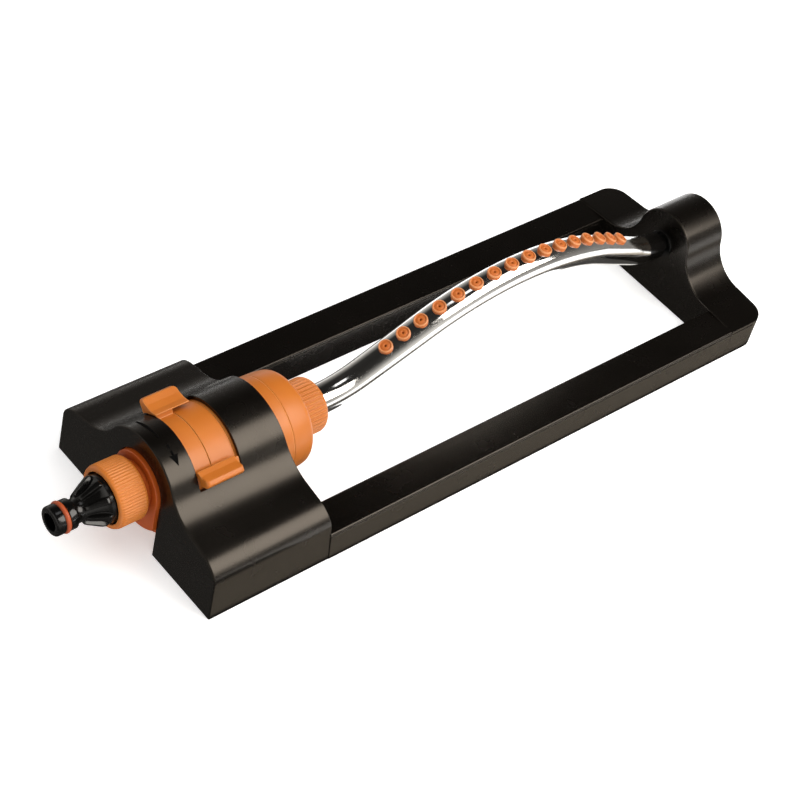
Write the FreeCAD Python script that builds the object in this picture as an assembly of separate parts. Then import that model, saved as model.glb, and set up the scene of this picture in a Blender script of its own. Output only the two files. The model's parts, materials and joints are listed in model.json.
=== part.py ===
"""Oscillating lawn sprinkler: a base on two runners, a water motor in a drum and an arched spray tube.

Units are millimetres and +Z is up. The script works in the housing's own coordinates: x = 0 is the
foot of the housing's front wall, +X runs along the base towards the end support, y = 0 is the
centre plane and z = 0 the ground. Each node is written with the origin moved to the ground under
the middle of the overall length. Angles round the swing axis are in degrees from +Z towards -Y,
which is a positive turn about +X.
"""
import FreeCAD, Part
import math
import os

V = FreeCAD.Vector

# ---- base ---------------------------------------------------------------------------------------
WALL = 2.0              # wall of every black moulding
AXIS_Z = 38.0           # height of the swing axis, the inlet and the drum
HUMP_R = 30.0           # hump of the housing round the drum
HUMP_TURN = 60.0        # arc of the hump on each side, degrees
SADDLE_R = 28.5         # hollow between hump and shoulder
SADDLE_TURN = 48.0
LEDGE = 10.2            # sloping ledge between hollow and shoulder
SHOULDER_UPPER_R = 17.0
SHOULDER_UPPER_TURN = 42.0
SHOULDER_LOWER_R = 9.0
SIDE_DRAFT = 1.3        # degrees that the side walls lean inwards
INNER_FACE_X = 77.0     # housing's inner face at the ground
INNER_FACE_LEAN = 0.11  # the face leans towards the inlet by this much per millimetre of height
INNER_WALL = 2.4
FRONT_WALL = 2.4
ARCH_R = 18.4           # arched doorway in the front wall
ARCH_LEG = 18.1         # half width of the doorway at the ground
ARCH_ROUND = 0.5
EDGE_ROUND = 0.8

RAIL_W = 21.4           # width of each runner
RAIL_H = 20.2           # height of each runner
RAIL_SIDE = 67.5        # outer side of the runners
RAIL_ROUND = 1.3
WEB = 1.6               # upright web inside the runners
BEAD_GROOVE = 0.5       # fine groove under the rounded top edge
BEAD_Z = 18.0

SUPPORT_X0 = 381.4      # inner face of the end support
SUPPORT_X1 = 411.5      # outer face
SUPPORT_CORNER_R = 11.0
SUPPORT_HUMP_R = 20.0
SUPPORT_HUMP_Z = 39.6
SUPPORT_HUMP_TURN = 82.0
SUPPORT_SWEEP_R = 23.5
BOSS_R = 9.0
BOSS_X1 = 395.0

SCREW_R = 1.5
SCREW_PORT_R = 3.2
SCREW_HEAD_R = 3.2
SCREW_HEAD = 2.0
SCREW_LENGTH = 10.0
SCREW_Z = 9.5
SCREW_Y = RAIL_SIDE - RAIL_W / 2

# ---- drum, rings and inlet ----------------------------------------------------------------------
DRUM_R = 27.6
DRUM_X0 = 4.0           # front face of the drum
CASE_X0 = 15.6          # joint between front cover and case
GROOVE_X1 = 41.6        # end of the groove that the range rings lie in
GROOVE_R = 25.2
CAP_X0 = 77.6           # joint between case and rear cap
CAP_X1 = 92.6
SHELL = 2.2             # wall of the drum
OUTLET_R = 11.5
OUTLET_X1 = 104.0

RING_GAP = 0.3
RING_X = (16.2, 26.5, 26.9, 41.2)
RING_R0 = GROOVE_R + RING_GAP
RING_R1 = 27.7
RING_HALF_SPAN = 126.0  # the open ends of the rings are the stops for the trip lever
SLOT_X = (15.9, 42.4)
SLOT_ANGLE = (-43.0, 69.0)
PAD_R0 = HUMP_R + 0.6    # underside of the finger tabs
NEAR_TAB_X = (15.5, 36.0)
NEAR_TAB = ((-24, 31.2), (-31, 32.0), (-37, 34.6), (-41, 38.0), (-45, 38.0), (-46, 29.0), (-24, 29.0))
NEAR_STEM = (-40.0, -26.0)
FAR_TAB_X = (16.2, 39.0)
FAR_TAB = ((49, 31.0), (53, 33.0), (56.5, 37.8), (60, 38.2), (62.5, 36.6), (62.5, 29.0), (49, 29.0))
FAR_STEM = (51.0, 60.0)
TAB_ROUND = 0.9
TAB_CORNER = 1.8

SPINDLE_R = 9.0
SPINDLE_BORE = 6.2
SPINDLE_X0 = -15.8
SPINDLE_X1 = 43.0
BRACKET_X = (FRONT_WALL, 3.7)
BRACKET_R = HUMP_R - WALL
BRACKET_LOWER_R = 29.4  # the plate is a little wider below the drum
DOOR_FRONT = -2.0       # the plate's raised face stands through the doorway
DOOR_LOWER_R = 26.0
DOOR_GAP = 0.4
DOOR_ROUND = 0.5
THREAD_R = 15.4
THREAD_X1 = -7.0
SPINDLE_NECK_R = 13.0
NUT_X = (-22.0, -5.6)
NUT_R = 17.3
NUT_LIP_R = 14.2
NUT_RIBS = 64
TIP_X = -52.5
TIP_R = 8.0
CONNECTOR_BORE = 5.0
CONNECTOR_BACK = -17.6
CONNECTOR_RIBS = 8
CONNECTOR_RIB_W = 2.6
O_RING_X = -46.1
O_RING_SECTION = 1.35
RUNNING = 0.08          # radial clearance of a shaft that turns in its hole

# ---- gear train ---------------------------------------------------------------------------------
MODULE = 0.8
SUN_TEETH = 25
PLANET_PINION_TEETH = 10
PLANET_WHEEL_TEETH = 26
TURBINE_PINION_TEETH = 9
PLANET_Y = MODULE * (SUN_TEETH + PLANET_PINION_TEETH) / 2
SUN_X = (36.4, 41.4)
WHEEL_X = (47.6, 51.0)
GEAR_PLATE_X = (43.8, 46.2)
JET_PLATE_X = (55.0, 57.4)
TURBINE_X = (60.0, 67.0)
TURBINE_R = 20.0
TURBINE_BLADES = 12
REAR_PLATE_X = (70.0, 72.4)
PLATE_R = DRUM_R - SHELL
PIN_R = 1.5
NECK_R = 3.2            # neck of the planet gear, which turns in the gear plate
PORT_R = 1.5
PORT_REACH = 9.0        # distance of the two jet ports from the diverter rod
PORT_ANGLE = 14.0       # the ports stand this far either side of the flap's middle position

# ---- diverter -----------------------------------------------------------------------------------
ROD_Z = 20.0            # height of the diverter rod, straight below the axis
LEVER_X = (26.0, 31.0)
LEVER_TIP_R = 27.2
LEVER_W = 3.0
WINDOW_X = (24.4, 32.6)
WINDOW_HALF = 5.2
SEAL_HALF = 3.4
FLAP_X = (52.4, 54.4)

# ---- spray tube ---------------------------------------------------------------------------------
TUBE_TILT = 6.0         # lean of the tube at rest, towards -Y
TUBE_R = 8.5
TUBE_BORE = 7.4
TUBE_X0 = 96.0
BEND_X0 = 114.0         # start of the first bend
BEND_R = 66.0
BEND_TURN = 26.0
CROWN_X = 247.0         # top of the arch
CROWN_R = 150.0
END_TURN = 8.0          # the last bend has turned this far where the tube stops
PLUG_DEPTH = 7.0
PLUG_R = 7.9            # head of the plug beyond the tube's end
PLUG_ROUND = 2.5
PLUG_STOP = 3.5         # degrees of bend left where the head meets the collar
PLUG_LAP = 0.5          # the part inside the tube runs this many degrees into the head
TUBE_NUT_X = (93.0, 111.4)
TUBE_NUT_R = 15.6
TUBE_NUT_RIBS = 40
NOZZLES = 16
NOZZLE_PITCH = 11.9
NOZZLE_LEAD = 3.5       # the row is set this much towards the inlet
NOZZLE_R = 4.0
NOZZLE_HOLE = 0.7
NOZZLE_STEM_R = 2.6
PIVOT_R = 4.0
PIVOT_X1 = 393.0
COLLAR_X = (375.4, 379.2)
COLLAR_R = 5.6
BUSH_R = 6.6
BUSH_FLANGE_X0 = 379.6

X_SHIFT = -(TIP_X + SUPPORT_X1) / 2


# ---- helpers ------------------------------------------------------------------------------------
def write(name, shape):
    """Write one node, moved so that the origin is on the ground under the middle of the length."""
    placed = shape.copy()
    placed.translate(V(X_SHIFT, 0, 0))
    placed.exportStep("parts/" + name + ".step")


def bar(x0, x1, radius, y=0.0, z=AXIS_Z):
    """Round bar along X."""
    return Part.makeCylinder(radius, x1 - x0, V(x0, y, z), V(1, 0, 0))


def ring(x0, x1, outer, inner, y=0.0, z=AXIS_Z):
    return bar(x0, x1, outer, y, z).cut(bar(x0 - 1, x1 + 1, inner, y, z))


def block(x0, x1, y0, y1, z0, z1):
    return Part.makeBox(x1 - x0, y1 - y0, z1 - z0, V(x0, y0, z0))


def turned(shape, angle, y=0.0, z=AXIS_Z):
    """Copy of a shape turned about an axis along X."""
    copy = shape.copy()
    copy.rotate(V(0, y, z), V(1, 0, 0), angle)
    return copy


def fused(shapes):
    whole = shapes[0]
    for shape in shapes[1:]:
        whole = whole.fuse(shape)
    return whole.removeSplitter()


def rounded(shape, edges, radius):
    """Round the given edges, or leave them sharp where the kernel can't."""
    try:
        result = shape.makeFillet(radius, edges)
    except Part.OCCError:
        return shape
    return result if result.isValid() else shape


def lathe(corners):
    """Solid of revolution about the swing axis from (x, radius) corners.

    A corner that is a pair of points is an arc through the first to the second.
    """
    here = V(corners[0][0], 0, AXIS_Z + corners[0][1])
    edges = []
    for corner in corners[1:] + corners[:1]:
        if isinstance(corner[0], tuple):
            through, end = [V(x, 0, AXIS_Z + r) for x, r in corner]
            edges.append(Part.Arc(here, through, end).toShape())
        else:
            end = V(corner[0], 0, AXIS_Z + corner[1])
            edges.append(Part.makeLine(here, end))
        here = end
    face = Part.Face(Part.Wire(edges))
    return face.revolve(V(0, 0, AXIS_Z), V(1, 0, 0), 360)


def sector(x0, x1, r0, r1, a0, a1):
    """Part of a ring about the swing axis, between two angles from +Z towards -Y."""
    def at(radius, angle):
        turn = math.radians(angle)
        return V(x0, -radius * math.sin(turn), AXIS_Z + radius * math.cos(turn))
    middle = (a0 + a1) / 2
    outer = Part.Arc(at(r1, a0), at(r1, middle), at(r1, a1)).toShape()
    inner = Part.Arc(at(r0, a1), at(r0, middle), at(r0, a0)).toShape()
    side_1 = Part.makeLine(at(r1, a1), at(r0, a1))
    side_0 = Part.makeLine(at(r0, a0), at(r1, a0))
    face = Part.Face(Part.Wire([outer, side_1, inner, side_0]))
    return face.extrude(V(x1 - x0, 0, 0))


def star(x0, x1, radii, count, phase=0.0, y=0.0, z=AXIS_Z):
    """Prism along X whose outline repeats (share of the pitch, radius) corners count times."""
    corners = []
    for tooth in range(count):
        for share, radius in radii:
            angle = 2 * math.pi * (tooth + share + phase) / count
            corners.append(V(x0, y + radius * math.cos(angle), z + radius * math.sin(angle)))
    face = Part.Face(Part.makePolygon(corners + corners[:1]))
    return face.extrude(V(x1 - x0, 0, 0))


def gear(x0, x1, teeth, phase, y=0.0):
    """Spur gear with thin straight-sided teeth. Phase 0 puts a tooth on the +Y side."""
    pitch_r = MODULE * teeth / 2
    root_r = pitch_r - 1.1 * MODULE
    tip_r = pitch_r + 0.85 * MODULE
    shape = [(-0.27, root_r), (-0.1, tip_r), (0.1, tip_r), (0.27, root_r)]
    return star(x0, x1, shape, teeth, phase, y)


class Outline:
    """Path of arcs and straight runs that join tangentially, in a plane set by place(a, b)."""

    def __init__(self, a, b, heading, place=lambda a, b: V(0, a, b)):
        self.a, self.b, self.heading, self.place = a, b, heading, place
        self.edges = []

    def point(self):
        return self.place(self.a, self.b)

    def run(self, length):
        turn = math.radians(self.heading)
        self.line_to(self.a + length * math.cos(turn), self.b + length * math.sin(turn))

    def line_to(self, a, b):
        start = self.point()
        self.a, self.b = a, b
        self.edges.append(Part.makeLine(start, self.point()))

    def arc(self, radius, turn):
        """Arc that changes the heading by turn degrees, anticlockwise when positive."""
        side = math.copysign(radius, turn)
        first = math.radians(self.heading)
        centre_a = self.a - side * math.sin(first)
        centre_b = self.b + side * math.cos(first)

        def at(share):
            angle = math.radians(self.heading + turn * share)
            return centre_a + side * math.sin(angle), centre_b - side * math.cos(angle)

        start, middle = self.point(), self.place(*at(0.5))
        self.a, self.b = at(1.0)
        self.heading += turn
        self.edges.append(Part.Arc(start, middle, self.point()).toShape())


def both_halves(path, x0, x1):
    """Extrude a half outline that runs from the centre plane to the ground, and mirror it."""
    top = path.edges[0].Vertexes[0].Point
    path.line_to(0, 0)
    path.edges.append(Part.makeLine(V(0, 0, 0), top))
    half = Part.Face(Part.Wire(path.edges)).extrude(V(x1 - x0, 0, 0))
    half.translate(V(x0, 0, 0))
    return half.fuse(half.mirror(V(0, 0, 0), V(0, 1, 0))).removeSplitter()


# ---- black base ---------------------------------------------------------------------------------
def housing_block(inset, x0, x1):
    """Solid under the housing's skin, or under its inner surface when inset is the wall."""
    path = Outline(0, AXIS_Z + HUMP_R - inset, 0)
    path.arc(HUMP_R - inset, -HUMP_TURN)
    path.arc(SADDLE_R + inset, SADDLE_TURN)
    path.run(LEDGE)
    path.arc(SHOULDER_UPPER_R - inset, -SHOULDER_UPPER_TURN)
    path.arc(SHOULDER_LOWER_R - inset, SIDE_DRAFT - 90 - path.heading)
    path.run(path.b / math.cos(math.radians(SIDE_DRAFT)))
    return both_halves(path, x0, x1)


def past_inner_face(offset):
    """Space beyond the leaning inner face of the housing, moved along X by offset."""
    space = Part.makeBox(400, 200, 200, V(0, -100, -80))
    space.rotate(V(0, 0, 0), V(0, 1, 0), -math.degrees(math.atan(INNER_FACE_LEAN)))
    space.translate(V(INNER_FACE_X + offset, 0, 0))
    return space


def screw_axes():
    """Places of the screws that hold the runners: (y, x of the seat, direction along X)."""
    seat = INNER_FACE_X - INNER_WALL - INNER_FACE_LEAN * (SCREW_Z + SCREW_HEAD_R) - 0.1
    for y in (-SCREW_Y, SCREW_Y):
        yield y, seat, 1
        yield y, SUPPORT_X0 + WALL, -1


def screw_shank(y, seat, direction, radius):
    start, end = sorted((seat, seat + direction * SCREW_LENGTH))
    return bar(start, end, radius, y, SCREW_Z)


def screw_holes(radius):
    return fused([screw_shank(y, seat, direction, radius) for y, seat, direction in screw_axes()])


def doorway(x0, x1, gap):
    """Arch with straight legs down to the ground, set in from the doorway's edge by the gap."""
    spring_line = AXIS_Z - math.sqrt(ARCH_R ** 2 - ARCH_LEG ** 2)
    legs = block(x0, x1, gap - ARCH_LEG, ARCH_LEG - gap, -1, spring_line)
    return fused([bar(x0, x1, ARCH_R - gap), legs])


def inlet_housing():
    """Front shell: hump over the drum, ledges, shoulders, doorway, ring slot and inner wall."""
    body = housing_block(0, 0, 90).cut(past_inner_face(0))
    front_rim = [e for e in body.Edges if e.BoundBox.XMax < 0.01 and e.BoundBox.ZMax > 1]
    body = rounded(body, front_rim, EDGE_ROUND)
    hollow = housing_block(WALL, FRONT_WALL, 90).cut(past_inner_face(-INNER_WALL))
    drum_way = bar(60, 90, HUMP_R - WALL)
    below_drum = block(60, 90, WALL - HUMP_R, HUMP_R - WALL, -1, AXIS_Z)
    slot = sector(SLOT_X[0], SLOT_X[1], HUMP_R - 4, HUMP_R + 4, SLOT_ANGLE[0], SLOT_ANGLE[1])
    body = body.cut(hollow).cut(doorway(-5, FRONT_WALL + 0.1, 0))
    door_rim = [e for e in body.Edges if e.BoundBox.XMax < 0.01 and e.BoundBox.YLength < 2 * ARCH_R + 0.1
                and abs(e.CenterOfMass.y) < ARCH_R and e.BoundBox.ZLength > 1]
    body = rounded(body, door_rim, ARCH_ROUND)
    for space in (drum_way, below_drum, slot, screw_holes(SCREW_R + 0.2)):
        body = body.cut(space)
    return body


def runner(y_low):
    """Extruded hollow runner with a bead along its -Y top edge and a web that holds a screw port."""
    x0 = INNER_FACE_X - 10
    middle = y_low + RAIL_W / 2
    body = block(x0, SUPPORT_X0, y_low, y_low + RAIL_W, 0, RAIL_H)
    top = [e for e in body.Edges if e.BoundBox.XLength > 100 and e.BoundBox.ZMin > RAIL_H - 0.1]
    body = rounded(body, top, RAIL_ROUND).common(past_inner_face(0))
    groove = block(x0, SUPPORT_X0 + 1, y_low - 1, y_low + BEAD_GROOVE, BEAD_Z - 0.4, BEAD_Z + 0.4)
    hollow = block(x0 - 1, SUPPORT_X0 + 1, y_low + WALL, y_low + RAIL_W - WALL, WALL, RAIL_H - WALL)
    web = block(x0 - 2, SUPPORT_X0 + 2, middle - WEB / 2, middle + WEB / 2, 0, RAIL_H)
    port = bar(x0 - 2, SUPPORT_X0 + 2, SCREW_PORT_R, middle, SCREW_Z)
    bore = bar(x0 - 2, SUPPORT_X0 + 2, SCREW_R, middle, SCREW_Z)
    return body.cut(groove).cut(hollow.cut(web).cut(port)).cut(bore).removeSplitter()


def support_block(inset, x0, x1):
    path = Outline(0, SUPPORT_HUMP_Z + SUPPORT_HUMP_R - inset, 0)
    path.arc(SUPPORT_HUMP_R - inset, -SUPPORT_HUMP_TURN)
    path.arc(SUPPORT_SWEEP_R + inset, SUPPORT_HUMP_TURN - 1)
    path.line_to(RAIL_SIDE - inset, RAIL_H - inset)
    path.line_to(RAIL_SIDE - inset, 0)
    return both_halves(path, x0, x1)


def support_plan(inset):
    """Plan of the end support as a tall block with rounded outer corners."""
    plan = block(SUPPORT_X0 - 20, SUPPORT_X1 - inset, inset - RAIL_SIDE, RAIL_SIDE - inset, -5, 90)
    upright = [e for e in plan.Edges if e.BoundBox.ZLength > 50 and e.BoundBox.XMin > SUPPORT_X0]
    return plan.makeFillet(SUPPORT_CORNER_R - inset, upright)


def end_support():
    """Rear shell: narrow hump over the pivot, sweeping down to the height of the runners."""
    body = support_block(0, SUPPORT_X0, SUPPORT_X1 + 5).common(support_plan(0))
    front_rim = [e for e in body.Edges if e.BoundBox.XMax < SUPPORT_X0 + 0.01
                 and e.BoundBox.ZMax > RAIL_H + 5]
    body = rounded(body, front_rim, EDGE_ROUND)
    groove = block(SUPPORT_X0 - 1, SUPPORT_X1 - SUPPORT_CORNER_R, -RAIL_SIDE - 1,
                   BEAD_GROOVE - RAIL_SIDE, BEAD_Z - 0.4, BEAD_Z + 0.4)
    hollow = support_block(WALL, SUPPORT_X0 + WALL, SUPPORT_X1 + 5).common(support_plan(WALL))
    body = body.cut(hollow).cut(groove).cut(screw_holes(SCREW_R + 0.2))
    body = body.fuse(bar(SUPPORT_X0 + WALL - 0.5, BOSS_X1, BOSS_R))
    return body.cut(bar(SUPPORT_X0 - 1, BOSS_X1 + 1, BUSH_R)).removeSplitter()


def runner_screws():
    screws = []
    for y, seat, direction in screw_axes():
        head_0, head_1 = sorted((seat, seat - direction * SCREW_HEAD))
        head = bar(head_0, head_1, SCREW_HEAD_R, y, SCREW_Z)
        slot = block(seat - direction * SCREW_HEAD - 0.8, seat - direction * SCREW_HEAD + 0.8,
                     y - 2.2, y + 2.2, SCREW_Z - 0.4, SCREW_Z + 0.4)
        screws.append(head.cut(slot).fuse(screw_shank(y, seat, direction, SCREW_R)))
    return Part.makeCompound(screws)


# ---- inlet --------------------------------------------------------------------------------------
def spindle_bracket():
    """Round plate behind the doorway that carries the spindle, with a raised face in the doorway."""
    upper = bar(BRACKET_X[0], BRACKET_X[1], BRACKET_R)
    lower = bar(BRACKET_X[0], BRACKET_X[1], BRACKET_LOWER_R)
    lower = lower.common(block(0, 10, -40, 40, 0, AXIS_Z - 8))
    face = doorway(DOOR_FRONT, BRACKET_X[0], DOOR_GAP)
    face = face.common(bar(DOOR_FRONT, BRACKET_X[0], DOOR_LOWER_R))
    rim = [e for e in face.Edges if e.BoundBox.XMax < DOOR_FRONT + 0.01]
    face = rounded(face, rim, DOOR_ROUND)
    return fused([upper, lower, face]).cut(bar(DOOR_FRONT - 1, 10, SPINDLE_R)).removeSplitter()


def inlet_spindle():
    """Fixed hollow spindle: thread for the union nut, shoulder, and journal for the drum."""
    return lathe([(SPINDLE_X0, SPINDLE_BORE), (SPINDLE_X0, THREAD_R - 1), (SPINDLE_X0 + 1, THREAD_R),
                  (THREAD_X1, THREAD_R), (THREAD_X1, SPINDLE_NECK_R), (DOOR_FRONT, SPINDLE_NECK_R),
                  (DOOR_FRONT, SPINDLE_R), (SPINDLE_X1, SPINDLE_R), (SPINDLE_X1, SPINDLE_BORE)])


def fixed_gear():
    """Gear keyed to the end of the spindle, which the planet climbs round."""
    wheel = gear(SUN_X[0], SUN_X[1], SUN_TEETH, 0.5)
    return wheel.cut(bar(SUN_X[0] - 1, SUN_X[1] + 1, SPINDLE_R))


def quick_connector():
    """Male hose nipple: sealing land, claw groove and ribbed cone."""
    groove = (O_RING_X - 1.5, O_RING_X + 1.5)
    nose = ((TIP_X + 0.3, TIP_R - 0.4), (TIP_X + 1.1, TIP_R))
    cone = ((-30.0, 8.2), (-24.0, 12.4))
    body = lathe([(TIP_X, CONNECTOR_BORE), (TIP_X, TIP_R - 1.2), nose,
                  (groove[0], TIP_R), (groove[0], 6.0), (groove[1], 6.0), (groove[1], TIP_R + 0.1),
                  (-40.8, TIP_R + 0.1), (-39.4, 6.5), (-36.6, 6.5), cone, (-20.0, 13.6), (-20.0, 15.0),
                  (CONNECTOR_BACK, 15.0), (CONNECTOR_BACK, CONNECTOR_BORE)])
    rib = block(-35.6, -24.2, -CONNECTOR_RIB_W / 2, CONNECTOR_RIB_W / 2, AXIS_Z + 6.2, AXIS_Z + 15)
    above_rib = lathe([(-36.0, 7.9), (-35.0, 8.6), (-31.5, 10.6), (-26.0, 13.4), (-24.0, 13.4),
                       (-24.0, 20.0), (-36.0, 20.0)])
    rib = rib.cut(above_rib)
    return fused([body] + [turned(rib, 360 * i / CONNECTOR_RIBS) for i in range(CONNECTOR_RIBS)])


def connector_o_ring():
    middle_r = TIP_R + 0.7 - O_RING_SECTION
    return Part.makeTorus(middle_r, O_RING_SECTION, V(O_RING_X, 0, AXIS_Z), V(1, 0, 0))


def inlet_washer():
    return ring(CONNECTOR_BACK, SPINDLE_X0, 13.8, SPINDLE_BORE + 2.2)


def inlet_filter():
    """Cup-shaped strainer whose rim is held inside the washer."""
    cup = ring(SPINDLE_X0, SPINDLE_X0 + 14, SPINDLE_BORE - 0.1, SPINDLE_BORE - 0.9)
    floor = bar(SPINDLE_X0 + 13, SPINDLE_X0 + 14, SPINDLE_BORE - 0.1)
    rim = ring(SPINDLE_X0 - 1.6, SPINDLE_X0, SPINDLE_BORE + 2.0, SPINDLE_BORE - 0.9)
    cup = fused([cup, floor, rim])
    for row in range(5):
        window = block(SPINDLE_X0 + 1.4 + 2.3 * row, SPINDLE_X0 + 2.7 + 2.3 * row, -0.9, 0.9,
                       AXIS_Z, AXIS_Z + SPINDLE_BORE + 1)
        for side in range(6):
            cup = cup.cut(turned(window, 60 * side))
    return cup


def inlet_nut():
    """Union nut with fine ribs."""
    x0, x1 = NUT_X
    root_r = NUT_R - 0.45
    ribs = star(x0 + 1.2, x1 - 0.6, [(-0.32, root_r), (-0.16, NUT_R), (0.16, NUT_R), (0.32, root_r)],
                NUT_RIBS)
    skin = lathe([(x0, 0), (x0, root_r - 0.5), (x0 + 0.5, root_r + 0.05), (x1 - 0.3, root_r + 0.05),
                  (x1, root_r - 0.3), (x1, 0)])
    solid = ribs.fuse(skin)
    solid = solid.cut(bar(x0 - 1, x1, NUT_LIP_R))
    return solid.cut(bar(x0 + 1.7, x1 + 1, THREAD_R + RUNNING)).removeSplitter()


# ---- drum ---------------------------------------------------------------------------------------
def front_cover():
    """Front of the drum. It turns on the spindle and carries the front end of the diverter rod."""
    inner = GROOVE_R - SHELL
    collar_x = DRUM_X0 + 6
    body = lathe([(DRUM_X0, SPINDLE_R + RUNNING), (DRUM_X0, DRUM_R - 0.8), (DRUM_X0 + 0.8, DRUM_R),
                  (CASE_X0, DRUM_R), (CASE_X0, inner), (CASE_X0 + 3, inner), (CASE_X0 + 3, inner - 1.6),
                  (DRUM_X0 + 2.6, inner - 1.6), (DRUM_X0 + 2.6, SPINDLE_R + 3),
                  (collar_x, SPINDLE_R + 3), (collar_x, SPINDLE_R + RUNNING)])
    boss = turned(bar(DRUM_X0 + 2, DRUM_X0 + 9, 3.6, z=ROD_Z), TUBE_TILT)
    bore = turned(bar(DRUM_X0 + 4, DRUM_X0 + 10, PIN_R + RUNNING, z=ROD_Z), TUBE_TILT)
    return body.fuse(boss).cut(bore).removeSplitter()


def spindle_seal():
    """Rubber ring inside the front cover, round the spindle."""
    return ring(DRUM_X0 + 6, DRUM_X0 + 8, SPINDLE_R + 2.4, SPINDLE_R + RUNNING)


def motor_case():
    """Middle of the drum, with the groove for the range rings and a window for the trip lever."""
    inner = GROOVE_R - SHELL
    body = lathe([(CASE_X0, inner), (CASE_X0, GROOVE_R), (GROOVE_X1, GROOVE_R), (GROOVE_X1, DRUM_R),
                  (CAP_X0, DRUM_R), (CAP_X0, PLATE_R), (GEAR_PLATE_X[0], PLATE_R),
                  (GEAR_PLATE_X[0], inner)])
    window = block(WINDOW_X[0], WINDOW_X[1], -WINDOW_HALF, WINDOW_HALF, 0, AXIS_Z - inner + 4)
    return body.cut(turned(window, TUBE_TILT))


def rear_cap():
    """Rounded rear of the drum with the outlet spigot that the spray tube plugs into."""
    side = ((CAP_X0 + 5, DRUM_R - 0.15), (88.2, 26.8))
    corner = ((91.3, 25.4), (CAP_X1, 22.6))
    return lathe([(CAP_X0, DRUM_R - 0.5), (CAP_X0 + 0.5, DRUM_R), side, corner,
                  (CAP_X1, OUTLET_R), (OUTLET_X1, OUTLET_R),
                  (OUTLET_X1, TUBE_R + 0.05), (TUBE_X0, TUBE_R + 0.05), (TUBE_X0, 6.5), (90.2, 6.5),
                  (90.2, 22.0), (88.0, 24.4), (REAR_PLATE_X[1] + 4, PLATE_R - 0.4),
                  (REAR_PLATE_X[1], PLATE_R - 0.4), (REAR_PLATE_X[1], PLATE_R), (CAP_X0, PLATE_R)])


def gear_plate():
    """Bearing plate between the dry gears and the wet side."""
    plate = bar(GEAR_PLATE_X[0], GEAR_PLATE_X[1], PLATE_R - 0.02)
    holes = [bar(40, 50, PIN_R + RUNNING), bar(40, 50, NECK_R + RUNNING, y=PLANET_Y)]
    holes.append(turned(bar(40, 50, PIN_R + RUNNING, z=ROD_Z), TUBE_TILT))
    holes += [turned(bar(40, 50, 2.5, z=AXIS_Z + 8), angle) for angle in (60, 120, 180, 240)]
    return plate.cut(fused(holes))


def jet_plate():
    """Plate with the two slanting jet ports that blow the turbine one way or the other."""
    plate = bar(JET_PLATE_X[0], JET_PLATE_X[1], PLATE_R - 0.02)
    holes = [bar(50, 60, PIN_R + RUNNING), bar(50, 60, PIN_R, y=PLANET_Y)]
    for side in (-1, 1):
        port = turned(bar(50, 60, PORT_R, z=ROD_Z + PORT_REACH), side * PORT_ANGLE, z=ROD_Z)
        holes.append(turned(port, TUBE_TILT))
    return plate.cut(fused(holes))


def rear_plate():
    """Spider that carries the rear end of the turbine shaft."""
    rim = ring(REAR_PLATE_X[0], REAR_PLATE_X[1], PLATE_R - 0.02, PLATE_R - 3)
    hub = ring(REAR_PLATE_X[0] - 1, REAR_PLATE_X[1], 4.0, PIN_R + RUNNING)
    spoke = block(REAR_PLATE_X[0], REAR_PLATE_X[1], -1.5, 1.5, AXIS_Z + 3.5, AXIS_Z + PLATE_R - 2)
    return fused([rim, hub] + [turned(spoke, 120 * i) for i in range(3)])


def planet_pin():
    return bar(33.0, JET_PLATE_X[1], PIN_R, y=PLANET_Y)


def planet_gear():
    """Two gears in one piece: a pinion on the fixed gear and a wheel driven by the turbine."""
    pinion = gear(SUN_X[0], SUN_X[1], PLANET_PINION_TEETH, 0.0, PLANET_Y)
    neck = bar(SUN_X[1], WHEEL_X[0], NECK_R, y=PLANET_Y)
    wheel = gear(WHEEL_X[0], WHEEL_X[1], PLANET_WHEEL_TEETH, 0.0, PLANET_Y)
    solid = fused([pinion, neck, wheel])
    return solid.cut(bar(30, 60, PIN_R + RUNNING, y=PLANET_Y))


def turbine_shaft():
    return bar(GEAR_PLATE_X[0] - 0.4, REAR_PLATE_X[1] + 1, PIN_R)


def turbine_pinion():
    """Small gear pressed on the turbine shaft. The wheel has a tooth facing it, so it has a gap."""
    pinion = gear(WHEEL_X[0], WHEEL_X[1], TURBINE_PINION_TEETH, 0.5)
    return pinion.cut(bar(40, 60, PIN_R))


def turbine_wheel():
    """Blades on a backing disc, in line with the two jet ports."""
    hub = bar(TURBINE_X[0] - 1, TURBINE_X[1] + 1, 4.5)
    web = bar(TURBINE_X[1] - 1.4, TURBINE_X[1], TURBINE_R - 2)
    blade = block(TURBINE_X[0], TURBINE_X[1], -0.7, 0.7, AXIS_Z + 4, AXIS_Z + TURBINE_R - 2.02)
    blades = [turned(blade, 360 * i / TURBINE_BLADES) for i in range(TURBINE_BLADES)]
    return fused([hub, web] + blades).cut(bar(50, 80, PIN_R))


# ---- diverter -----------------------------------------------------------------------------------
def diverter_rod():
    return turned(bar(DRUM_X0 + 4.4, FLAP_X[1], PIN_R, z=ROD_Z), TUBE_TILT)


def trip_lever():
    """Lever on the rod whose tip reaches out between the open ends of the range rings."""
    hub = bar(LEVER_X[0], LEVER_X[1], 2.9, z=ROD_Z)
    arm = block(LEVER_X[0], LEVER_X[1], -LEVER_W / 2, LEVER_W / 2, AXIS_Z - LEVER_TIP_R, ROD_Z)
    tip = [e for e in arm.Edges if e.BoundBox.ZMax < AXIS_Z - LEVER_TIP_R + 0.1]
    lever = hub.fuse(rounded(arm, tip, 0.8)).removeSplitter()
    return turned(lever.cut(bar(20, 40, PIN_R, z=ROD_Z)), TUBE_TILT)


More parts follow.
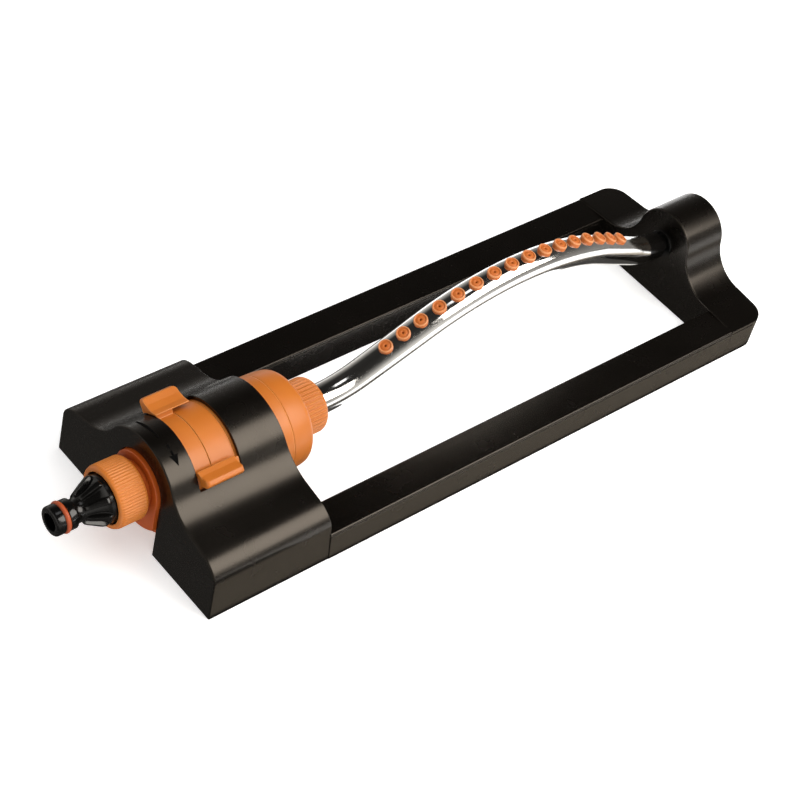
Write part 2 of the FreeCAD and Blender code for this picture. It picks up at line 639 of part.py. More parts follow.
def lever_seal():
    """Rubber frame in the window of the case, round the lever."""
    frame = ring(WINDOW_X[0] + 0.1, WINDOW_X[1] - 0.1, GROOVE_R - 0.2, GROOVE_R - SHELL)
    frame = frame.common(block(0, 50, 0.1 - WINDOW_HALF, WINDOW_HALF - 0.1, 0, AXIS_Z - 10))
    gap = block(LEVER_X[0] - 0.4, LEVER_X[1] + 0.4, -SEAL_HALF, SEAL_HALF, 0, AXIS_Z)
    return turned(frame.cut(gap), TUBE_TILT)


def diverter_flap():
    """Flap on the rear end of the rod that closes one jet port at a time."""
    hub = bar(FLAP_X[0], FLAP_X[1], 2.8, z=ROD_Z)
    leaf = block(FLAP_X[0] + 0.4, FLAP_X[1], -2.4, 2.4, ROD_Z, AXIS_Z - 7.5)
    flap = hub.fuse(leaf).cut(bar(50, 60, PIN_R, z=ROD_Z)).removeSplitter()
    return turned(flap, TUBE_TILT)


def toggle_spring():
    """Wire spring wound round the rod, which snaps the flap over."""
    coil = Part.makeHelix(1.3, 7.8, 2.5)
    wire_face = Part.Wire(Part.makeCircle(0.4, V(2.5, 0, 0), V(0, 1, 0)))
    spring = Part.Wire(coil).makePipeShell([wire_face], True, True)
    spring.rotate(V(0, 0, 0), V(0, 1, 0), 90)
    spring.translate(V(33.0, 0, ROD_Z))
    return turned(spring, TUBE_TILT)


# ---- range rings --------------------------------------------------------------------------------
def outer_edges(shape, radius):
    """Edges whose ends all lie further than this from the swing axis."""
    return [e for e in shape.Edges if min(math.hypot(v.Y, v.Z - AXIS_Z) for v in e.Vertexes) > radius]


def finger_tab(tab_x, corners):
    """Ramp with a lip, as a prism along X through (angle, radius) corners, hollowed over the hump."""
    points = []
    for angle, radius in corners:
        turn = math.radians(angle)
        points.append(V(tab_x[0], -radius * math.sin(turn), AXIS_Z + radius * math.cos(turn)))
    tab = Part.Face(Part.makePolygon(points + points[:1])).extrude(V(tab_x[1] - tab_x[0], 0, 0))
    lip_r = max(radius for angle, radius in corners) - 1
    tab = rounded(tab, [e for e in outer_edges(tab, lip_r) if e.BoundBox.XLength < 0.1], TAB_CORNER)
    tab = rounded(tab, [e for e in outer_edges(tab, lip_r) if e.BoundBox.XLength > 5], TAB_ROUND)
    return tab.cut(bar(tab_x[0] - 1, tab_x[1] + 1, PAD_R0))


def range_ring(ring_x, tab_x, tab_corners, stem_angle):
    """Open ring in the drum's groove with a finger tab that stands out through the slot."""
    band = sector(ring_x[0], ring_x[1], RING_R0, RING_R1, -RING_HALF_SPAN, 0)
    band = band.fuse(sector(ring_x[0], ring_x[1], RING_R0, RING_R1, 0, RING_HALF_SPAN))
    stem = sector(ring_x[0] + 0.2, ring_x[1] - 0.2, RING_R0 + 0.5, PAD_R0 + 0.4, *stem_angle)
    return fused([band, stem, finger_tab(tab_x, tab_corners)])


# ---- spray tube ---------------------------------------------------------------------------------
def along(x, height):
    return V(x, 0, AXIS_Z + height)


def tube_path():
    """Centre line of the tube as far as its open end, and the whole line as far as the pivot."""
    straight = (CROWN_X - BEND_X0 - (BEND_R + CROWN_R) * math.sin(math.radians(BEND_TURN)))
    straight /= math.cos(math.radians(BEND_TURN))
    path = Outline(TUBE_X0, 0, 0, along)
    path.run(BEND_X0 - TUBE_X0)
    path.arc(BEND_R, BEND_TURN)
    path.run(straight)
    path.arc(CROWN_R, -2 * BEND_TURN)
    path.run(straight)
    return path


def swept(edges, radius):
    """Round bar along a path of tangent edges."""
    wire = Part.Wire(edges)
    start = edges[0].Vertexes[0].Point
    heading = edges[0].tangentAt(edges[0].FirstParameter)
    circle = Part.Wire(Part.makeCircle(radius, start, heading))
    return wire.makePipeShell([circle], True, False)


def tube_solid(radius):
    path = tube_path()
    path.arc(BEND_R, END_TURN)
    return swept(path.edges, radius)


def at_length(edges, length):
    """Point and upward normal at a distance along the path."""
    for edge in edges:
        if length <= edge.Length:
            place = edge.getParameterByLength(length)
            tangent = edge.tangentAt(place)
            return edge.valueAt(place), V(-tangent.z, 0, tangent.x)
        length -= edge.Length
    raise ValueError("past the end of the path")


def nozzle_places():
    """Points on the centre line under each nozzle, evenly spaced either side of the crown."""
    edges = tube_path().edges
    crown = sum(e.Length for e in edges) / 2 + (BEND_X0 - TUBE_X0) / 2
    crown += BEND_R * math.radians(BEND_TURN) / 2
    first = crown - NOZZLE_PITCH * (NOZZLES - 1) / 2 - NOZZLE_LEAD
    return [at_length(edges, first + NOZZLE_PITCH * i) for i in range(NOZZLES)]


def spray_tube():
    body = tube_solid(TUBE_R).cut(tube_solid(TUBE_BORE))
    for point, normal in nozzle_places():
        body = body.cut(Part.makeCylinder(NOZZLE_STEM_R, 12, point, normal))
    return turned(body, TUBE_TILT)


def nozzles():
    """Soft nozzles: a stem through the tube's wall and a domed button with a fine hole."""
    tube = tube_solid(TUBE_R)
    buttons = []
    for point, normal in nozzle_places():
        head = Part.makeCylinder(NOZZLE_R, 2.6, point + normal * 7.2, normal).cut(tube)
        crown = Part.makeCone(NOZZLE_R, NOZZLE_R - 1.0, 0.7, point + normal * 9.8, normal)
        stem = Part.makeCylinder(NOZZLE_STEM_R, 2.8, point + normal * 6.8, normal)
        button = fused([head, crown, stem])
        button = button.cut(Part.makeCylinder(NOZZLE_HOLE, 8, point + normal * 5, normal))
        buttons.append(turned(button, TUBE_TILT))
    return Part.makeCompound(buttons)


def tube_end_plug():
    """Plug in the tube's far end: a head that follows the last bend, then a collar and pivot pin."""
    lip = tube_path()
    lip.arc(BEND_R, END_TURN - math.degrees(PLUG_DEPTH / BEND_R))
    root = Outline(lip.a, lip.b, lip.heading, along)
    root.arc(BEND_R, -lip.heading - BEND_TURN + END_TURN + PLUG_LAP)
    head_start = tube_path()
    head_start.arc(BEND_R, END_TURN)
    head_path = Outline(head_start.a, head_start.b, head_start.heading, along)
    head_path.arc(BEND_R, -head_start.heading - PLUG_STOP)
    head = swept(head_path.edges, PLUG_R)
    head = rounded(head, [e for e in head.Edges if e.BoundBox.XMin > COLLAR_X[0] - 2], PLUG_ROUND)
    collar = bar(COLLAR_X[0] - 1, COLLAR_X[1], COLLAR_R)
    pin = bar(COLLAR_X[1] - 1, PIVOT_X1, PIVOT_R)
    return turned(fused([swept(root.edges, TUBE_BORE), head, collar, pin]), TUBE_TILT)


def tube_nut():
    """Ribbed nut that clamps the tube to the drum's outlet."""
    x0, x1 = TUBE_NUT_X
    root_r = TUBE_NUT_R - 0.9
    shape = [(-0.3, root_r), (-0.14, TUBE_NUT_R), (0.14, TUBE_NUT_R), (0.3, root_r)]
    ribs = star(x0, x1, shape, TUBE_NUT_RIBS)
    skin = lathe([(x0, 0), (x0, TUBE_NUT_R + 1), (x1 - 4.5, TUBE_NUT_R + 1), (x1 - 4.5, TUBE_NUT_R),
                  ((x1 - 1.6, TUBE_NUT_R - 0.8), (x1, TUBE_NUT_R - 2.6)), (x1, 0)])
    solid = ribs.common(skin)
    solid = solid.cut(bar(x0 - 1, OUTLET_X1 + 3, OUTLET_R))
    return solid.cut(bar(x0, x1 + 1, TUBE_R + 0.1))


def tube_seal():
    return ring(OUTLET_X1, OUTLET_X1 + 3, OUTLET_R - 0.1, TUBE_R + 0.02)


def pivot_bush():
    """Flanged plain bearing in the end support."""
    sleeve = ring(BUSH_FLANGE_X0, BOSS_X1, BUSH_R, PIVOT_R + RUNNING)
    return sleeve.fuse(ring(BUSH_FLANGE_X0, SUPPORT_X0, 8.2, PIVOT_R + RUNNING)).removeSplitter()


# ---- assembly -----------------------------------------------------------------------------------
def main():
    os.makedirs("parts", exist_ok=True)
    write("inlet_housing", inlet_housing())
    write("near_runner", runner(-RAIL_SIDE))
    write("back_runner", runner(RAIL_SIDE - RAIL_W))
    write("end_support", end_support())
    write("near_range_ring", range_ring(RING_X[:2], NEAR_TAB_X, NEAR_TAB, NEAR_STEM))
    write("far_range_ring", range_ring(RING_X[2:], FAR_TAB_X, FAR_TAB, FAR_STEM))
    for make in (runner_screws, spindle_bracket, inlet_spindle, fixed_gear, quick_connector,
                 connector_o_ring, inlet_washer, inlet_filter, inlet_nut, front_cover, spindle_seal,
                 motor_case, rear_cap, gear_plate, jet_plate, rear_plate, planet_pin, planet_gear,
                 turbine_shaft, turbine_pinion, turbine_wheel, diverter_rod, trip_lever, lever_seal,
                 diverter_flap, toggle_spring, spray_tube, nozzles, tube_end_plug, tube_nut,
                 tube_seal, pivot_bush):
        write(make.__name__, make())


main()
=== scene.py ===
"""Oscillating lawn sprinkler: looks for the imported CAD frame. Metres, in the row frame."""
import json
import math

import bmesh
import bpy
from mathutils import Matrix, Quaternion, Vector


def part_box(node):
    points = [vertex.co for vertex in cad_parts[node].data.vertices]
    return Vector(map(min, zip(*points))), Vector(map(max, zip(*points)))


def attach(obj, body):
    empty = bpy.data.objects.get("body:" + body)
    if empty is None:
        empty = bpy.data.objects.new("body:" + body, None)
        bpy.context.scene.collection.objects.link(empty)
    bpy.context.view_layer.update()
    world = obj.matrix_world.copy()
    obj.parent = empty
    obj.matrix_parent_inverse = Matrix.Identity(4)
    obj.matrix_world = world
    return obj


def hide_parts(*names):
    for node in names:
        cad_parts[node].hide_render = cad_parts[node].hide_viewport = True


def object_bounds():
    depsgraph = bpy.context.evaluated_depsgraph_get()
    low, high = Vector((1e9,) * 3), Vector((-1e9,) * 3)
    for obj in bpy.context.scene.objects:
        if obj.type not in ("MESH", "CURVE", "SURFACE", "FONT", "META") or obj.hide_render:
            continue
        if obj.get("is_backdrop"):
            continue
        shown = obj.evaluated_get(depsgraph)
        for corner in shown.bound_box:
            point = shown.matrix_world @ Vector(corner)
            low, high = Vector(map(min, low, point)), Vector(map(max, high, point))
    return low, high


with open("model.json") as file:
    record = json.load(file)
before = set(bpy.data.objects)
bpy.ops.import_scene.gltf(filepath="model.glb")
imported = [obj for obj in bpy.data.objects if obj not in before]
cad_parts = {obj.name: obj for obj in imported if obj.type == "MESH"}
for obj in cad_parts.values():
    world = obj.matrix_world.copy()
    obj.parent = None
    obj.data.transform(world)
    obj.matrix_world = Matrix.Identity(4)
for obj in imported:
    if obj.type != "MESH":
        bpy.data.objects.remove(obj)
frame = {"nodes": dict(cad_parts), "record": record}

CAD_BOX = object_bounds()
NODES = frame["nodes"]
MM = 0.001

AXIS_Z = 38 * MM        # height of the swing axis

# Corners of a nozzle button as (radius, height over its CAD top), in millimetres.
NOZZLE_PROFILE = [(0.55, -2.6), (0.55, -0.6), (0.72, -0.32), (1.2, -0.12), (1.8, -0.16), (2.35, -0.42),
                  (2.65, -0.66), (2.85, -0.66), (3.0, -0.4), (3.15, -0.12), (3.38, 0.0), (3.65, -0.08),
                  (3.88, -0.35), (4.0, -0.8), (4.02, -3.2)]
NOZZLE_GAP = 1 * MM     # nozzles lie further apart than this along the tube
NOZZLE_RIM = 3.1 * MM   # the paler rim lies outside this radius
NOZZLE_RIM_DEPTH = 0.7 * MM

# Rows of the union nut and the nipple as (x from the housing's front wall, radius between the ribs,
# radius on the ribs), in millimetres.
NUT_ROWS = [(-22.0, 14.25, 14.25), (-22.0, 16.0, 16.0), (-21.86, 16.4, 16.4), (-21.5, 16.72, 16.72),
            (-20.9, 16.85, 16.85), (-20.3, 16.85, 17.2), (-19.8, 16.85, 17.3), (-7.1, 16.85, 17.3),
            (-6.6, 16.85, 17.15), (-6.3, 16.8, 16.8), (-5.85, 16.65, 16.65), (-5.6, 16.3, 16.3),
            (-5.6, 15.5, 15.5), (-20.3, 15.5, 15.5), (-20.3, 14.25, 14.25)]
NIPPLE_ROWS = [(-52.5, 5.0, 5.0), (-52.5, 6.7, 6.7), (-52.25, 7.45, 7.45), (-51.8, 7.85, 7.85),
               (-51.2, 8.0, 8.0), (-47.75, 8.0, 8.0), (-47.6, 7.85, 7.85), (-47.6, 6.1, 6.1),
               (-44.6, 6.1, 6.1), (-44.6, 7.95, 7.95), (-44.45, 8.1, 8.1), (-41.0, 8.1, 8.1),
               (-40.6, 7.9, 7.9), (-39.8, 6.85, 6.85), (-39.2, 6.5, 6.5), (-36.9, 6.5, 6.5),
               (-36.2, 6.55, 6.7), (-35.7, 6.6, 7.9), (-35.2, 6.7, 8.5), (-34.0, 6.9, 9.3),
               (-31.5, 7.6, 10.65), (-29.0, 8.6, 12.0), (-27.0, 9.8, 13.05), (-25.8, 10.7, 13.4),
               (-24.9, 11.5, 13.4), (-24.4, 12.3, 13.3), (-24.0, 12.9, 13.0), (-20.0, 13.6, 13.6),
               (-20.0, 15.0, 15.0), (-17.6, 15.0, 15.0), (-17.6, 5.0, 5.0)]
NUT_RIBS = 64
NIPPLE_RIBS = 8

MARK_R = 30.05 * MM     # the hump's radius, where the marks lie
MARK_THICKNESS = 0.2 * MM

CAMERA_PLACE = (-0.6433, -0.5300, 0.8190)
CAMERA_TURN = (0.87791, 0.32598, -0.21079, -0.28031)
CAMERA_LENS = 94.1      # millimetres, for a 36 mm sensor
FLOOR_Z = -0.3 * MM
CARD_Z = -0.4 * MM
LOOK_AT = (-0.10, -0.02, 0.05)
DAYLIGHT = (1.0, 0.95, 0.88)


# ---- camera, light and floor ----------------------------------------------------------------------
def link(obj):
    bpy.context.scene.collection.objects.link(obj)
    return obj


def add_camera():
    data = bpy.data.cameras.new("camera")
    data.sensor_width = 36.0
    data.lens = CAMERA_LENS
    data.clip_start = 0.05
    data.clip_end = 50.0
    camera = link(bpy.data.objects.new("camera", data))
    camera.location = CAMERA_PLACE
    camera.rotation_mode = "QUATERNION"
    camera.rotation_quaternion = Quaternion(CAMERA_TURN)
    bpy.context.scene.camera = camera


def add_area_light(name, place, target, width, height, power, colour=(1, 1, 1), glossy=True):
    data = bpy.data.lights.new(name, "AREA")
    data.shape = "RECTANGLE"
    data.size, data.size_y = width, height
    data.energy = power
    data.color = colour
    light = link(bpy.data.objects.new(name, data))
    light.location = place
    light.rotation_mode = "QUATERNION"
    light.rotation_quaternion = (Vector(target) - Vector(place)).to_track_quat("-Z", "Y")
    light.visible_glossy = glossy


def add_world():
    """Pale room: bright at the horizon, dark overhead and underfoot, and dimmer towards +X.

    Each stop is the height of a direction, from -1 for straight down to 1 for straight up, and its grey.
    """
    world = bpy.data.worlds.new("studio")
    world.use_nodes = True
    tree = world.node_tree
    background = tree.nodes["Background"]
    place = tree.nodes.new("ShaderNodeTexCoord")
    split = tree.nodes.new("ShaderNodeSeparateXYZ")
    tree.links.new(place.outputs["Generated"], split.inputs["Vector"])
    height = tree.nodes.new("ShaderNodeMapRange")
    height.inputs["From Min"].default_value = -1.0
    ramp = tree.nodes.new("ShaderNodeValToRGB")
    tree.links.new(split.outputs["Z"], height.inputs["Value"])
    tree.links.new(height.outputs["Result"], ramp.inputs["Fac"])
    tree.links.new(ramp.outputs["Color"], background.inputs["Color"])
    stops = [(-1.0, 0.10), (-0.45, 0.14), (-0.15, 0.40), (0.02, 0.80), (0.20, 0.55), (0.36, 0.30),
             (0.60, 0.09), (0.72, 0.03), (1.0, 0.02)]
    points = ramp.color_ramp.elements
    while len(points) < len(stops):
        points.new(0.5)
    for point, (level, value) in zip(points, stops):
        point.position = (level + 1) / 2
        point.color = (value, value * 0.96, value * 0.90, 1)
    side = tree.nodes.new("ShaderNodeMapRange")
    side.inputs["From Min"].default_value = 0.15
    side.inputs["From Max"].default_value = 0.75
    side.inputs["To Min"].default_value = 1.0
    side.inputs["To Max"].default_value = 0.35
    tree.links.new(split.outputs["X"], side.inputs["Value"])
    tree.links.new(side.outputs["Result"], background.inputs["Strength"])
    bpy.context.scene.world = world


def add_plane(name, x_span, y_span, z, material, glossy):
    """Level rectangle of the stage, which reflections show only if it is glossy."""
    (x0, x1), (y0, y1) = x_span, y_span
    mesh = bpy.data.meshes.new(name)
    mesh.from_pydata([(x0, y0, 0), (x1, y0, 0), (x1, y1, 0), (x0, y1, 0)], [], [(0, 1, 2, 3)])
    mesh.materials.append(material)
    plane = link(bpy.data.objects.new(name, mesh))
    plane.location.z = z
    plane.visible_glossy = glossy
    plane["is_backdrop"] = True


def matt_paint(name, colour, glow):
    """Plain matt surface that also gives off a little light, for the floor and the cards."""
    material = bpy.data.materials.new(name)
    material.use_nodes = True
    shader = material.node_tree.nodes["Principled BSDF"]
    shader.inputs["Base Color"].default_value = colour + (1,)
    shader.inputs["Roughness"].default_value = 0.9
    shader.inputs["Specular IOR Level"].default_value = 0.0
    shader.inputs["Emission Color"].default_value = colour + (1,)
    shader.inputs["Emission Strength"].default_value = glow
    return material


def add_floor():
    """Pale floor, and the cards in and round the frame that reflections show in its place."""
    floor = matt_paint("floor", (0.93, 0.93, 0.93), 0.45)
    pale = matt_paint("pale_card", (0.93, 0.93, 0.93), 0.27)
    warm = matt_paint("warm_card", (0.45, 0.41, 0.35), 0.27)
    add_plane("floor", (-6, 6), (-6, 6), FLOOR_Z, floor, False)
    add_plane("card_inside", (-0.03, 0.15), (-0.045, 0.03), CARD_Z, pale, True)
    add_plane("card_behind", (0.08, 0.9), (0.07, 0.8), CARD_Z, pale, True)
    add_plane("card_front", (-0.1, 0.9), (-0.8, -0.1), CARD_Z, pale, True)
    add_plane("card_beside", (-0.178, 0.9), (-0.1, -0.069), CARD_Z, warm, True)


def add_lights():
    add_area_light("key", (0.46, -0.79, 0.80), LOOK_AT, 1.0, 0.8, 14, DAYLIGHT)
    add_area_light("top", (0.0, -0.2, 1.8), (0, 0, 0), 2.4, 2.4, 34, glossy=False)
    add_area_light("front", (-1.3, -0.2, 0.5), LOOK_AT, 1.2, 0.8, 1.5, DAYLIGHT)
    add_area_light("overhead", (0.15, -0.03, 1.4), (0.15, -0.03, 0.0), 0.35, 0.35, 0.6)
    add_area_light("low card", (0.95, 0.78, -1.1), (0.05, 0, 0.05), 1.1, 0.9, 2.8, (1.0, 0.97, 0.93))


# ---- materials ------------------------------------------------------------------------------------
class Nodes:
    """Short way to add and join shader nodes in one material."""

    def __init__(self, name):
        self.material = bpy.data.materials.new(name)
        self.material.use_nodes = True
        self.tree = self.material.node_tree
        self.shader = self.tree.nodes["Principled BSDF"]
        self.place = self.add("ShaderNodeTexCoord").outputs["Object"]

    def add(self, kind, **values):
        node = self.tree.nodes.new(kind)
        for name, value in values.items():
            setattr(node, name, value)
        return node

    def join(self, source, target):
        self.tree.links.new(source, target)

    def set(self, **values):
        for name, value in values.items():
            self.shader.inputs[name.replace("_", " ")].default_value = value

    def noise(self, scale, detail=3.0, roughness=0.5, stretch=None):
        node = self.add("ShaderNodeTexNoise")
        node.inputs["Scale"].default_value = scale
        node.inputs["Detail"].default_value = detail
        node.inputs["Roughness"].default_value = roughness
        source = self.place
        if stretch:
            mapping = self.add("ShaderNodeMapping")
            mapping.inputs["Scale"].default_value = stretch
            self.join(source, mapping.inputs["Vector"])
            source = mapping.outputs["Vector"]
        self.join(source, node.inputs["Vector"])
        return node.outputs["Fac"]

    def span(self, source, low, high, from_low=0.3, from_high=0.7):
        """Maps a noise value on to the range low to high."""
        node = self.add("ShaderNodeMapRange")
        node.inputs["From Min"].default_value = from_low
        node.inputs["From Max"].default_value = from_high
        node.inputs["To Min"].default_value = low
        node.inputs["To Max"].default_value = high
        self.join(source, node.inputs["Value"])
        return node.outputs["Result"]

    def mix(self, share, first, second):
        """Colour between two colours or outputs."""
        node = self.add("ShaderNodeMix", data_type="RGBA")
        self.join(share, node.inputs["Factor"])
        for key, value in (("A", first), ("B", second)):
            socket = [s for s in node.inputs if s.name == key and s.type == "RGBA"][0]
            if isinstance(value, tuple):
                socket.default_value = value + (1,)
            else:
                self.join(value, socket)
        return [s for s in node.outputs if s.type == "RGBA"][0]

    def rounded_normal(self, radius):
        """Normal of the surface with its edges rounded off."""
        rounded = self.add("ShaderNodeBevel", samples=6)
        rounded.inputs["Radius"].default_value = radius
        return rounded.outputs["Normal"]

    def edges(self, normal):
        """1 on edges and 0 elsewhere: where a rounded normal leaves the true one."""
        compare = self.add("ShaderNodeVectorMath", operation="DOT_PRODUCT")
        self.join(normal, compare.inputs[0])
        self.join(self.add("ShaderNodeNewGeometry").outputs["Normal"], compare.inputs[1])
        return self.span(compare.outputs["Value"], 1.0, 0.0, 0.80, 0.97)

    def bump(self, source, strength, distance, normal=None):
        node = self.add("ShaderNodeBump")
        node.inputs["Strength"].default_value = strength
        node.inputs["Distance"].default_value = distance
        self.join(source, node.inputs["Height"])
        if normal:
            self.join(normal, node.inputs["Normal"])
        self.join(node.outputs["Normal"], self.shader.inputs["Normal"])

    def colour(self, source):
        self.join(source, self.shader.inputs["Base Color"])

    def roughness(self, source):
        self.join(source, self.shader.inputs["Roughness"])


def moulded_plastic(name, colours, rough, grain, grain_depth, edge=0.5 * MM, relief=0.2):
    """Moulded plastic: faint clouds in the colour, handling marks in the gloss and paler edges.

    The colours are the deep and the light cloud and the worn edge; rough is the lowest and highest roughness.
    """
    deep, light, worn = colours
    n = Nodes(name)
    clouds = n.mix(n.span(n.noise(28, 4), 0, 1), deep, light)
    normal = n.rounded_normal(edge)
    n.colour(n.mix(n.edges(normal), clouds, worn))
    marks = n.span(n.noise(60, 3, 0.5), rough[0], rough[1], 0.2, 0.8)
    n.roughness(marks)
    n.bump(n.noise(grain, 2), relief, grain_depth, normal)
    n.set(IOR=1.5)
    return n


def black_shell():
    colours = (0.0020, 0.0016, 0.0013), (0.0032, 0.0026, 0.0021), (0.008, 0.0065, 0.0055)
    n = moulded_plastic("black_shell", colours, (0.24, 0.29), 900, 0.01 * MM, relief=0.08)
    n.set(Specular_Tint=(1.0, 0.89, 0.77, 1))
    return n.material


def black_fitting():
    colours = (0.0020, 0.0019, 0.0018), (0.0035, 0.0032, 0.0030), (0.012, 0.011, 0.010)
    return moulded_plastic("black_fitting", colours, (0.13, 0.20), 1100, 0.01 * MM).material


def mark_black():
    colours = (0.0008, 0.0008, 0.0008), (0.0014, 0.0013, 0.0012), (0.003, 0.003, 0.003)
    n = moulded_plastic("mark_black", colours, (0.75, 0.9), 1500, 0.04 * MM)
    n.set(Specular_IOR_Level=0.1)
    return n.material


def nozzle_rim():
    colours = (0.56, 0.21, 0.075), (0.64, 0.26, 0.10), (0.80, 0.42, 0.20)
    return moulded_plastic("nozzle_rim", colours, (0.46, 0.58), 1800, 0.04 * MM).material


def orange_plastic():
    colours = (0.475, 0.130, 0.0135), (0.545, 0.160, 0.020), (0.74, 0.30, 0.08)
    n = moulded_plastic("orange_plastic", colours, (0.36, 0.46), 2400, 0.02 * MM, edge=0.9 * MM)
    n.set(Subsurface_Weight=0.06, Subsurface_Radius=(0.003, 0.0012, 0.0004))
    return n.material


def orange_painted_shade():
    """Darker, redder copy of the orange plastic for the spindle and its bracket: painted shade, for the nut's
    shade they lie in.
    """
    colours = (0.38, 0.062, 0.004), (0.44, 0.078, 0.007), (0.62, 0.20, 0.06)
    return moulded_plastic("orange_painted_shade", colours, (0.36, 0.46), 2400, 0.02 * MM, edge=0.6 * MM).material


def orange_rubber():
    colours = (0.44, 0.107, 0.014), (0.50, 0.13, 0.02), (0.86, 0.36, 0.11)
    return moulded_plastic("orange_rubber", colours, (0.46, 0.58), 1800, 0.04 * MM).material


def o_ring():
    colours = (0.36, 0.060, 0.014), (0.42, 0.075, 0.018), (0.50, 0.12, 0.04)
    return moulded_plastic("o_ring", colours, (0.40, 0.50), 1800, 0.02 * MM).material


def black_rubber():
    colours = (0.012, 0.012, 0.012), (0.02, 0.02, 0.02), (0.04, 0.04, 0.04)
    return moulded_plastic("black_rubber", colours, (0.5, 0.65), 1500, 0.05 * MM).material


def inner_plastic():
    colours = (0.62, 0.60, 0.55), (0.70, 0.68, 0.63), (0.78, 0.77, 0.73)
    return moulded_plastic("inner_plastic", colours, (0.35, 0.5), 1500, 0.04 * MM).material


def screw_steel():
    colours = (0.50, 0.50, 0.50), (0.62, 0.62, 0.61), (0.8, 0.8, 0.8)
    n = moulded_plastic("screw_steel", colours, (0.22, 0.38), 1500, 0.02 * MM)
    n.set(Metallic=1.0)
    return n.material


def bright_tube():
    """Bright plated tube with faint drawing lines along its length."""
    n = Nodes("bright_tube")
    n.set(Metallic=1.0)
    clouds = n.mix(n.span(n.noise(35, 3), 0, 1), (0.80, 0.79, 0.77), (0.90, 0.89, 0.87))
    n.colour(clouds)
    lines = n.noise(900, 2, 0.5, (0.03, 1, 1))
    n.roughness(n.span(lines, 0.07, 0.16))
    n.bump(lines, 0.12, 0.02 * MM)
    return n.material


MATERIAL_MAKERS = (black_shell, black_fitting, mark_black, nozzle_rim, orange_plastic, orange_painted_shade,
                   orange_rubber, o_ring, black_rubber, inner_plastic, screw_steel, bright_tube)


def paint(obj, material):
    obj.data.materials.clear()
    obj.data.materials.append(material)


# ---- pieces ---------------------------------------------------------------------------------------
def turned_mesh(name, profile, segments=48):
    """Mesh of revolution about Z from (radius, height) corners in millimetres."""
    shape = bmesh.new()
    rows = []
    for radius, height in profile:
        row = []
        for i in range(segments):
            turn = 2 * math.pi * i / segments
            place = (radius * MM * math.cos(turn), radius * MM * math.sin(turn), height * MM)
            row.append(shape.verts.new(place))
        rows.append(row)
    for inner, outer in zip(rows, rows[1:]):
        for i in range(segments):
            j = (i + 1) % segments
            shape.faces.new((inner[i], outer[i], outer[j], inner[j]))
    for face in shape.faces:
        face.smooth = True
    bmesh.ops.recalc_face_normals(shape, faces=shape.faces)
    mesh = bpy.data.meshes.new(name)
    shape.to_mesh(mesh)
    shape.free()
    return mesh


def ribbed_mesh(name, rows, ribs, half_width, flank, steps=24):
    """Closed mesh of revolution about the swing axis, with lengthwise ribs.

    Each row is (x, radius between the ribs, radius on the ribs) in millimetres from the foot of the
    housing's front wall. A rib's top takes half_width of the pitch either side and its flank the next part.
    """
    shape = bmesh.new()
    foot_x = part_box("inlet_housing")[0][0]
    loops = []
    count = ribs * steps
    for x, root, top in rows:
        loop = []
        for i in range(count):
            off = abs((i / steps + 0.5) % 1.0 - 0.5)
            share = min(1.0, max(0.0, (half_width + flank - off) / flank))
            radius = (root + (top - root) * share * share * (3 - 2 * share)) * MM
            turn = 2 * math.pi * i / count
            place = (foot_x + x * MM, radius * math.sin(turn), AXIS_Z + radius * math.cos(turn))
            loop.append(shape.verts.new(place))
        loops.append(loop)
    for one, two in zip(loops, loops[1:] + loops[:1]):
        for i in range(count):
            j = (i + 1) % count
            shape.faces.new((one[i], one[j], two[j], two[i]))
    bmesh.ops.recalc_face_normals(shape, faces=shape.faces)
    for face in shape.faces:
        face.smooth = True
    for edge in shape.edges:
        edge.smooth = edge.calc_face_angle(0) < math.radians(35)
    mesh = bpy.data.meshes.new(name)
    shape.to_mesh(mesh)
    shape.free()
    return mesh


def add_union_nut(material):
    """Union nut with fine ribs and a rounded front edge."""
    mesh = ribbed_mesh("union_nut_skin", NUT_ROWS, NUT_RIBS, 0.14, 0.2, 8)
    nut = link(bpy.data.objects.new("union_nut_skin", mesh))
    paint(nut, material)
    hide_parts("inlet_nut")
    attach(nut, "union_nut")


def add_nipple(material):
    """Hose nipple with its ribbed cone."""
    mesh = ribbed_mesh("nipple_skin", NIPPLE_ROWS, NIPPLE_RIBS, 0.15, 0.07)
    nipple = link(bpy.data.objects.new("nipple_skin", mesh))
    paint(nipple, material)
    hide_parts("quick_connector")
    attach(nipple, "base")


def nozzle_tops():
    """Centre and axis of the flat top of every nozzle, read from the CAD node."""
    mesh = NODES["nozzles"].data
    faces = sorted(mesh.polygons, key=lambda face: face.center.x)
    groups = [[faces[0]]]
    reach = faces[0].center.x
    for face in faces[1:]:
        if face.center.x - reach > NOZZLE_GAP:
            groups.append([])
        groups[-1].append(face)
        reach = face.center.x
    for group in groups:
        flats = {}
        for face in group:
            key = tuple(round(value, 2) for value in face.normal)
            flats.setdefault(key, []).append(face)
        flat = max(flats.values(), key=lambda some: sum(face.area for face in some if face.normal.z > 0))
        area = sum(face.area for face in flat)
        centre = sum((face.center * face.area for face in flat), Vector()) / area
        axis = sum((face.normal * face.area for face in flat), Vector()).normalized()
        yield centre, axis


def add_nozzles(material, rim_material):
    """Soft buttons with a rounded paler rim, a sunk ring and a low dome round the fine hole."""
    mesh = turned_mesh("nozzle_button", NOZZLE_PROFILE)
    mesh.materials.append(material)
    mesh.materials.append(rim_material)
    for face in mesh.polygons:
        face.material_index = int(NOZZLE_RIM < face.center.xy.length and face.center.z > -NOZZLE_RIM_DEPTH)
    for number, (centre, axis) in enumerate(nozzle_tops(), 1):
        button = link(bpy.data.objects.new("nozzle_button_%02d" % number, mesh))
        button.matrix_world = Matrix.Translation(centre) @ axis.to_track_quat("Z", "Y").to_matrix().to_4x4()
        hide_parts("nozzles")
        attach(button, "spray_arm")


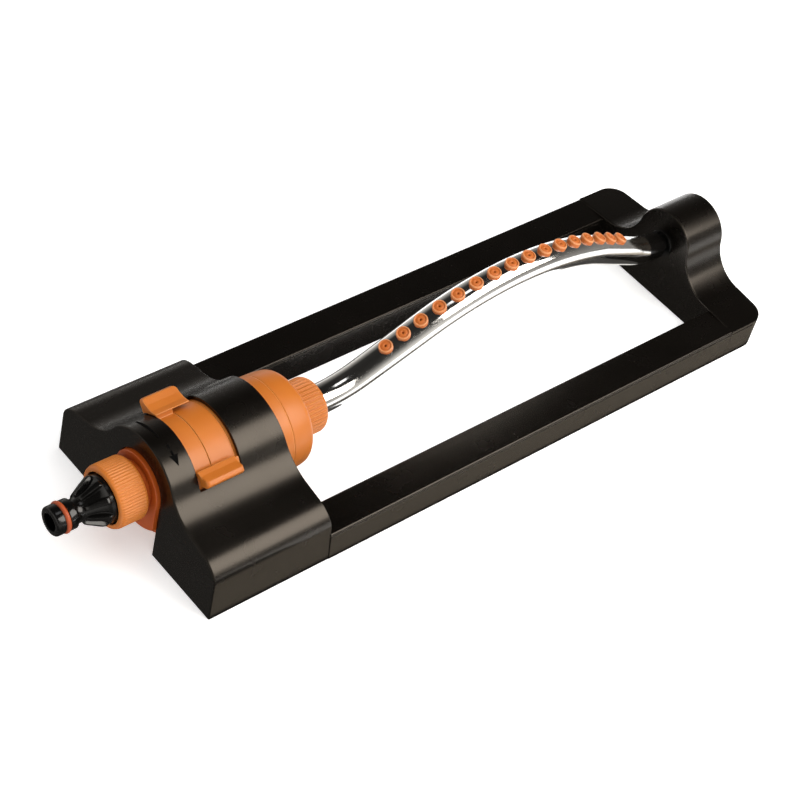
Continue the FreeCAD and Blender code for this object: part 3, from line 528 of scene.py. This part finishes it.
def mark_on_hump(name, rows, material):
    """Thin raised mark on the hump, from rows of two points across the mark.

    A point is x in millimetres from the front wall and its angle in degrees from upright, towards -Y.
    """
    shape = bmesh.new()
    foot_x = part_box("inlet_housing")[0][0]
    pairs = []
    for row in rows:
        pair = []
        for x, angle in row:
            turn = math.radians(angle)
            place = (foot_x + x * MM, -MARK_R * math.sin(turn), AXIS_Z + MARK_R * math.cos(turn))
            pair.append(shape.verts.new(place))
        pairs.append(pair)
    for one, two in zip(pairs, pairs[1:]):
        shape.faces.new((one[0], one[1], two[1], two[0]))
    mesh = bpy.data.meshes.new(name)
    shape.to_mesh(mesh)
    shape.free()
    mark = link(bpy.data.objects.new(name, mesh))
    thick = mark.modifiers.new("thickness", "SOLIDIFY")
    thick.thickness = MARK_THICKNESS
    thick.offset = 0
    paint(mark, material)
    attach(mark, "base")


def add_marks(material):
    """A travel line, widest near its middle, and a small arrow beside the finger slot."""
    line = []
    for step in range(13):
        share = step / 12
        angle = -32 + 35 * share
        middle = 6.4 + 0.9 * share
        half = 0.35 + 0.5 * math.sin(math.pi * min(1.0, share * 1.3))
        line.append(((middle - half, angle), (middle + half, angle)))
    mark_on_hump("travel_line", line, material)
    arrow = [((7.9, 13), (9.1, 13)), ((7.9, 25), (9.1, 25)), ((6.1, 25), (10.9, 25)), ((8.4, 36), (8.6, 36))]
    mark_on_hump("travel_arrow", arrow, material)


# ---- scene ----------------------------------------------------------------------------------------
bpy.context.scene.view_settings.view_transform = "Standard"
add_camera()
add_world()
add_floor()
add_lights()

MATERIALS = {maker.__name__: maker() for maker in MATERIAL_MAKERS}
for part in frame["record"]["subparts"]:
    paint(NODES[part["node"]], MATERIALS[part["material_slot"]])
paint(NODES["connector_o_ring"], MATERIALS["o_ring"])
# The spindle and its bracket take the darker, redder orange: painted shade behind the nut.
for name in ("spindle_bracket", "inlet_spindle"):
    paint(NODES[name], MATERIALS["orange_painted_shade"])

add_union_nut(MATERIALS["orange_plastic"])
add_nipple(MATERIALS["black_fitting"])
add_nozzles(MATERIALS["orange_rubber"], MATERIALS["nozzle_rim"])
add_marks(MATERIALS["mark_black"])

boxes = {"cad": CAD_BOX, "visual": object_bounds()}
{key: [list(corner) for corner in pair] for key, pair in boxes.items()}
